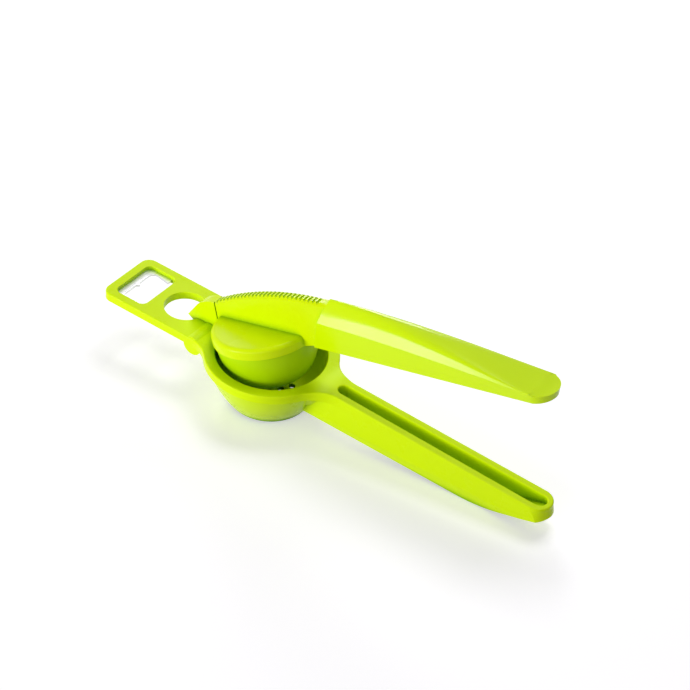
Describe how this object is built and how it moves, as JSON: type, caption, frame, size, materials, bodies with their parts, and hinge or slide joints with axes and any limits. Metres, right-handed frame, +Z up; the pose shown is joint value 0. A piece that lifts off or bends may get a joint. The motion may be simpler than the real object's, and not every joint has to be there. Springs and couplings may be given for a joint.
{
  "type": "hinged lemon squeezer",
  "caption": "Hand press with a pierced bowl, a domed plunger on a hinged lever, two long handles and a cap opener in its tab.",
  "frame": {"origin": "on the table under the middle of the squeezer's box, as it stands open on the rounded edge of the bowl's base and on the lower handle's belly", "axes": "+X towards the ends of the two handles, -Y towards the side where the pin's bore is blind, +Z up; the deck of the bowl leans 4.20 degrees, handle end down"},
  "size_m": [0.2596, 0.068, 0.0846],
  "materials": {
    "body_plastic": "satin moulded, lime",
    "lever_plastic": "satin moulded, lime",
    "dome_plastic": "satin moulded, lime",
    "grip_plastic": "glossy moulded, lime",
    "opener_steel": "brushed",
    "pin_steel": "ground",
    "screw_steel": "plated"
  },
  "bodies": {
    "lower": {"lower_body": "body_plastic", "opener_plate": "opener_steel", "hinge_pin": "pin_steel", "pin_plug": "body_plastic"},
    "lever": {"press_lever": "lever_plastic", "press_dome": "dome_plastic", "upper_grip": "grip_plastic", "grip_screw_front": "screw_steel", "grip_screw_rear": "screw_steel"}
  },
  "joints": [
    {"name": "lever_hinge", "type": "hinge", "parent": "lower", "child": "lever", "pos_m": [-0.07136, 0, 0.02747], "axis": [0, -1, 0], "range_deg": [-16.2, 90]}
  ]
}
